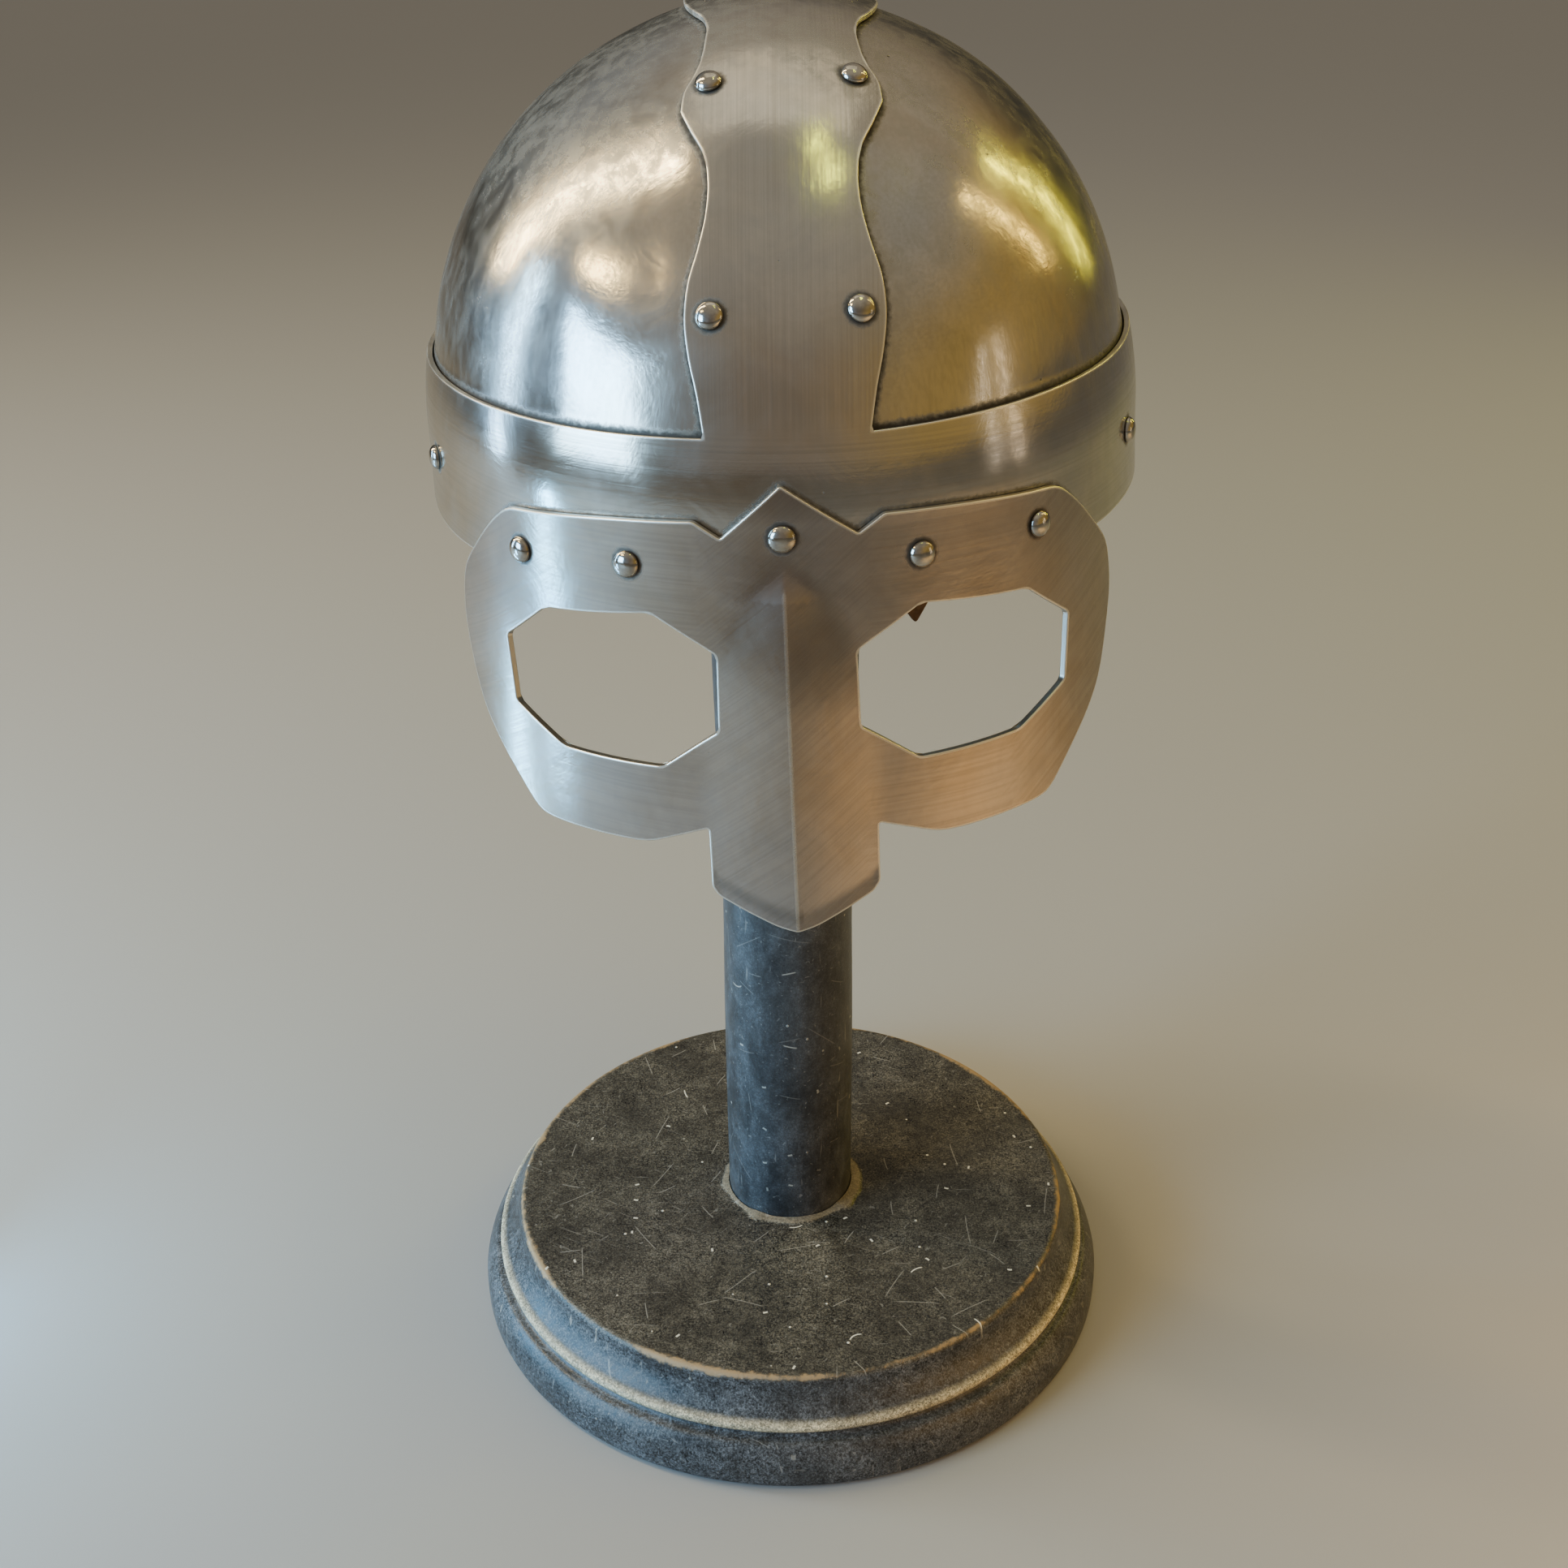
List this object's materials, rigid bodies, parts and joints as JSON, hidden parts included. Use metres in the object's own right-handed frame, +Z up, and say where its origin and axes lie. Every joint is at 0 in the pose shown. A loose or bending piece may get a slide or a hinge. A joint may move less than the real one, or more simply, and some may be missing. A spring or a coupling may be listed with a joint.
{
  "type": "norse iron spectacle helmet on wooden stand",
  "caption": "Riveted dome helmet with brow band, wavy-edged ridge strap, two skull plates and a spectacle face guard with nasal, resting on the post of a round turned wooden stand.",
  "frame": {"origin": "centre of the stand's flat underside", "axes": "+Z up along the stand's post, -Y the way the helmet's face looks, +X to the right of someone facing the helmet"},
  "size_m": [0.2172, 0.2436, 0.4254],
  "materials": {
    "frame_steel": "hand-polished and brushed steel with light tarnish",
    "plate_steel": "hammered and polished steel, cloudy tarnish",
    "guard_steel": "satin polished steel, faint brush marks",
    "rivet_steel": "polished domed heads",
    "tab_leather": "plain brown leather",
    "black_wood": "worn black satin paint on turned wood"
  },
  "bodies": {
    "root": {"frame": "frame_steel", "skull_plate_right": "plate_steel", "skull_plate_left": "plate_steel", "spectacle_guard": "guard_steel", "lining_tab": "tab_leather", "rivet_front_strap_low_right": "rivet_steel", "rivet_front_strap_low_left": "rivet_steel", "rivet_back_strap_low_right": "rivet_steel", "rivet_back_strap_low_left": "rivet_steel", "rivet_front_strap_high_right": "rivet_steel", "rivet_front_strap_high_left": "rivet_steel", "rivet_back_strap_high_right": "rivet_steel", "rivet_back_strap_high_left": "rivet_steel", "rivet_crown_right": "rivet_steel", "rivet_crown_left": "rivet_steel", "rivet_band_front_right": "rivet_steel", "rivet_band_front_left": "rivet_steel", "rivet_band_back_right": "rivet_steel", "rivet_band_back_left": "rivet_steel", "rivet_guard_1": "rivet_steel", "rivet_guard_2": "rivet_steel", "rivet_guard_3": "rivet_steel", "rivet_guard_4": "rivet_steel", "rivet_guard_5": "rivet_steel", "stand_base": "black_wood", "stand_post": "black_wood"}
  },
  "joints": []
}
